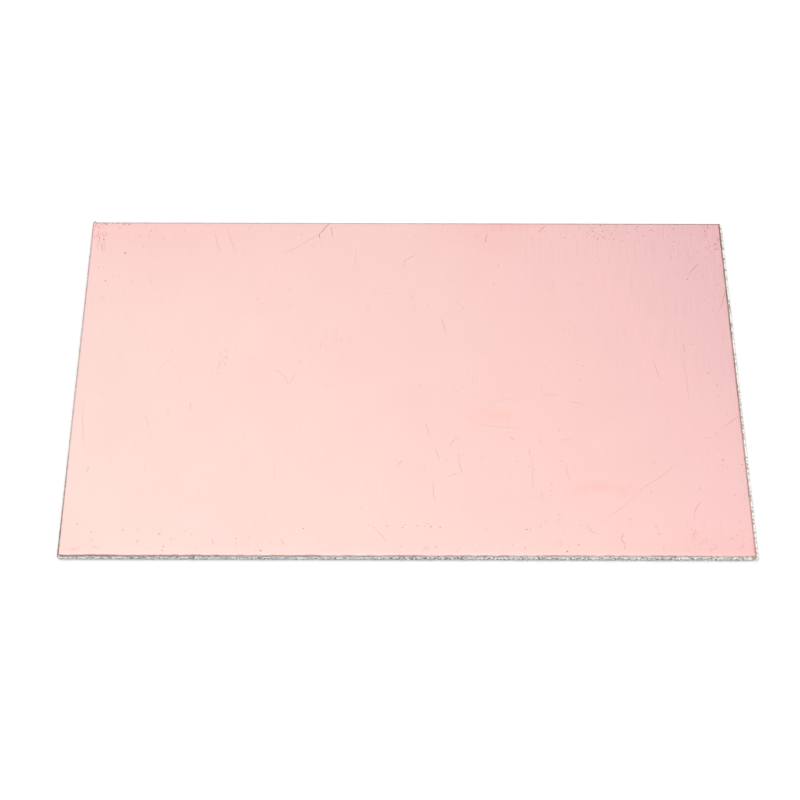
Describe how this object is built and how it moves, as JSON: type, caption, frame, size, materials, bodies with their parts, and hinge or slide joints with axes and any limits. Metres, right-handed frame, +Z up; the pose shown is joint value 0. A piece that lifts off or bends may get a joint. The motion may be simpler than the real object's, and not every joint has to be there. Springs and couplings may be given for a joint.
{
  "type": "copper clad board",
  "caption": "Rectangular single-sided copper clad board: glass-epoxy laminate with bright copper foil bonded to its upper face and guillotined edges.",
  "frame": {"origin": "middle of the bare underside, at the height of the surface the board lies on", "axes": "+X along the long sides, +Y along the short sides towards the picture's far edge, +Z up out of the copper face"},
  "size_m": [0.15, 0.1, 0.0016],
  "materials": {
    "glass_epoxy": "satin pressed face, rough broken fibres on the cut edges",
    "bright_copper": "bright copper foil, finely brushed, lightly scratched"
  },
  "bodies": {
    "root": {"glass_epoxy_core": "glass_epoxy", "copper_foil": "bright_copper"}
  },
  "joints": []
}
